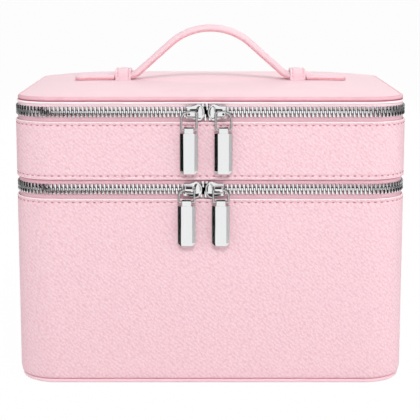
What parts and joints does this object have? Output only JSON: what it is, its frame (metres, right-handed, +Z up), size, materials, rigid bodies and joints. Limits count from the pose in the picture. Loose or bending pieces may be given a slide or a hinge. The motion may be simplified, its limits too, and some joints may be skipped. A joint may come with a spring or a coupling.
{
  "type": "makeup train case",
  "caption": "Tiered cosmetics carry case in grained leather: hinged tray and lid on metal zips, arched strap handle in keeper loops, divided base.",
  "frame": {"origin": "middle of the flat underside that the case stands on", "axes": "+X to the right along the case's length, the front faces -Y, +Z up"},
  "size_m": [0.256, 0.1857, 0.2322],
  "materials": {
    "grained_leather": "pink synthetic leather with a fine pebble grain",
    "smooth_leather": "pink synthetic leather, smooth with a soft sheen",
    "zip_tape": "woven pink tape",
    "zip_metal": "bright plated metal",
    "stiffener": "plain stiffening board",
    "foam": "thin white foam",
    "lining": "woven pink lining cloth",
    "divider": "padded panel in lining cloth"
  },
  "bodies": {
    "base": {"base_bottom_panel": "grained_leather", "base_piping": "smooth_leather", "base_floor_board": "stiffener", "base_floor_lining": "lining", "base_wall_leather": "grained_leather", "base_wall_foam": "foam", "base_wall_board": "stiffener", "base_wall_lining": "lining", "lower_zip_tape_base": "zip_tape", "lower_zip_teeth_base": "zip_metal", "lower_zip_end_stops": "zip_metal", "lower_hinge_patch": "grained_leather", "divider_long": "divider", "divider_cross_left": "divider", "divider_cross_right": "divider"},
    "tray": {"tray_wall_leather": "grained_leather", "tray_wall_foam": "foam", "tray_wall_board": "stiffener", "tray_wall_lining": "lining", "tray_floor_board": "stiffener", "tray_floor_lining": "lining", "tray_floor_underside": "lining", "lower_zip_tape_tray": "zip_tape", "lower_zip_teeth_tray": "zip_metal", "upper_zip_tape_tray": "zip_tape", "upper_zip_teeth_tray": "zip_metal", "upper_zip_end_stops": "zip_metal", "upper_hinge_patch": "grained_leather"},
    "lid": {"lid_top_panel": "smooth_leather", "lid_piping": "smooth_leather", "lid_foam": "foam", "lid_board": "stiffener", "lid_lining": "lining", "upper_zip_tape_lid": "zip_tape", "upper_zip_teeth_lid": "zip_metal", "handle_loop_left": "smooth_leather", "handle_loop_right": "smooth_leather"},
    "handle_grip": {"handle_grip": "smooth_leather", "handle_flank_left": "smooth_leather", "handle_flank_right": "smooth_leather"},
    "handle_tab_left": {"handle_tab_left": "smooth_leather"},
    "handle_tab_right": {"handle_tab_right": "smooth_leather"},
    "upper_slider_left": {"upper_slider_left": "zip_metal"},
    "upper_bail_left": {"upper_bail_left": "zip_metal"},
    "upper_pull_left": {"upper_pull_left": "zip_metal"},
    "upper_slider_right": {"upper_slider_right": "zip_metal"},
    "upper_bail_right": {"upper_bail_right": "zip_metal"},
    "upper_pull_right": {"upper_pull_right": "zip_metal"},
    "lower_slider_left": {"lower_slider_left": "zip_metal"},
    "lower_bail_left": {"lower_bail_left": "zip_metal"},
    "lower_pull_left": {"lower_pull_left": "zip_metal"},
    "lower_slider_right": {"lower_slider_right": "zip_metal"},
    "lower_bail_right": {"lower_bail_right": "zip_metal"},
    "lower_pull_right": {"lower_pull_right": "zip_metal"}
  },
  "joints": [
    {"name": "tray_hinge", "type": "hinge", "parent": "base", "child": "tray", "pos_m": [0, 0.0906, 0.1303], "axis": [-1, 0, 0], "range_deg": [0, 100], "deforming": ["lower_hinge_patch"]},
    {"name": "lid_hinge", "type": "hinge", "parent": "tray", "child": "lid", "pos_m": [0, 0.0906, 0.1804], "axis": [-1, 0, 0], "range_deg": [0, 105], "deforming": ["upper_hinge_patch"]},
    {"name": "handle_drop", "type": "slide", "parent": "lid", "child": "handle_grip", "axis": [0, 0, -1], "range_m": [0, 0.028], "deforming": ["handle_flank_left", "handle_flank_right"]},
    {"name": "handle_tab_left_slide", "type": "slide", "parent": "lid", "child": "handle_tab_left", "axis": [-1, 0, 0], "range_m": [0, 0.01]},
    {"name": "handle_tab_right_slide", "type": "slide", "parent": "lid", "child": "handle_tab_right", "axis": [1, 0, 0], "range_m": [0, 0.01]},
    {"name": "upper_slider_left_slide", "type": "slide", "parent": "tray", "child": "upper_slider_left", "axis": [-1, 0, 0], "range_m": [0, 0.082]},
    {"name": "upper_bail_left_swing", "type": "hinge", "parent": "upper_slider_left", "child": "upper_bail_left", "pos_m": [-0.01375, -0.0924, 0.1804], "axis": [-1, 0, 0], "range_deg": [0, 90]},
    {"name": "upper_pull_left_swing", "type": "hinge", "parent": "upper_bail_left", "child": "upper_pull_left", "pos_m": [-0.01375, -0.0924, 0.1692], "axis": [-1, 0, 0], "range_deg": [0, 80]},
    {"name": "upper_slider_right_slide", "type": "slide", "parent": "tray", "child": "upper_slider_right", "axis": [1, 0, 0], "range_m": [0, 0.082]},
    {"name": "upper_bail_right_swing", "type": "hinge", "parent": "upper_slider_right", "child": "upper_bail_right", "pos_m": [0.00835, -0.0924, 0.1804], "axis": [-1, 0, 0], "range_deg": [0, 90]},
    {"name": "upper_pull_right_swing", "type": "hinge", "parent": "upper_bail_right", "child": "upper_pull_right", "pos_m": [0.00835, -0.0924, 0.1692], "axis": [-1, 0, 0], "range_deg": [0, 80]},
    {"name": "lower_slider_left_slide", "type": "slide", "parent": "base", "child": "lower_slider_left", "axis": [-1, 0, 0], "range_m": [0, 0.082]},
    {"name": "lower_bail_left_swing", "type": "hinge", "parent": "lower_slider_left", "child": "lower_bail_left", "pos_m": [-0.01535, -0.0924, 0.1303], "axis": [-1, 0, 0], "range_deg": [0, 90]},
    {"name": "lower_pull_left_swing", "type": "hinge", "parent": "lower_bail_left", "child": "lower_pull_left", "pos_m": [-0.01535, -0.0924, 0.1221], "axis": [-1, 0, 0], "range_deg": [0, 80]},
    {"name": "lower_slider_right_slide", "type": "slide", "parent": "base", "child": "lower_slider_right", "axis": [1, 0, 0], "range_m": [0, 0.082]},
    {"name": "lower_bail_right_swing", "type": "hinge", "parent": "lower_slider_right", "child": "lower_bail_right", "pos_m": [0.00675, -0.0924, 0.1303], "axis": [-1, 0, 0], "range_deg": [0, 90]},
    {"name": "lower_pull_right_swing", "type": "hinge", "parent": "lower_bail_right", "child": "lower_pull_right", "pos_m": [0.00675, -0.0924, 0.1221], "axis": [-1, 0, 0], "range_deg": [0, 80]}
  ],
  "couplings": [
    {"joint": "handle_tab_left_slide", "follows": "handle_drop", "ratio": 0.35714},
    {"joint": "handle_tab_right_slide", "follows": "handle_drop", "ratio": 0.35714}
  ]
}
